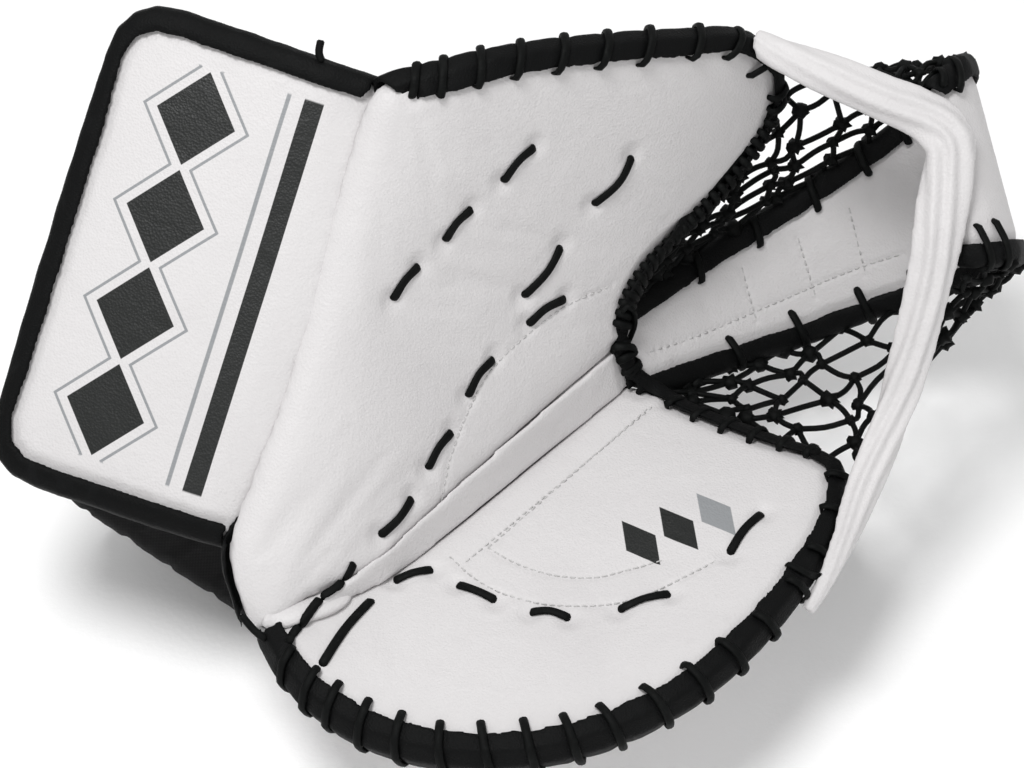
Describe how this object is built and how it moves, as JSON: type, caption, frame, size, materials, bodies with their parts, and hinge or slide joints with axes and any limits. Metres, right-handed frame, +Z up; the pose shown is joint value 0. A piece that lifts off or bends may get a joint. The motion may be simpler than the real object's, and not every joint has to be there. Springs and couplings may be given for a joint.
{
  "type": "goalkeeper catching glove",
  "caption": "Street hockey goalkeeper's catching glove for the left hand: padded palm and thumb, broad cuff plate, laced net pocket round a stem, and a hand pocket behind.",
  "frame": {"origin": "middle of the plan box, on the ground the glove lies on", "axes": "+Z up; +X from the wrist and cuff towards the web pocket; the palm faces up and -Y"},
  "size_m": [0.439, 0.3078, 0.2469],
  "materials": {
    "white_leather": "semi-gloss coated synthetic leather, padded behind",
    "black_binding": "satin black binding tape folded over the edges",
    "black_fabric": "matt black woven nylon",
    "black_cord": "matt black lace leather"
  },
  "bodies": {
    "root": {"palm_panel": "white_leather", "thumb_panel": "white_leather", "break_strip": "white_leather", "cuff_plate": "white_leather", "palm_binding": "black_binding", "thumb_binding": "black_binding", "heel_binding": "black_binding", "root_binding": "black_binding", "cuff_binding": "black_binding", "web_stem": "white_leather", "stem_binding_upper": "black_binding", "stem_binding_lower": "black_binding", "web_band": "white_leather", "web_net_upper": "black_cord", "web_net_lower": "black_cord", "back_pad": "white_leather", "thumb_hood": "black_fabric", "wrist_pad": "black_fabric"}
  },
  "joints": []
}
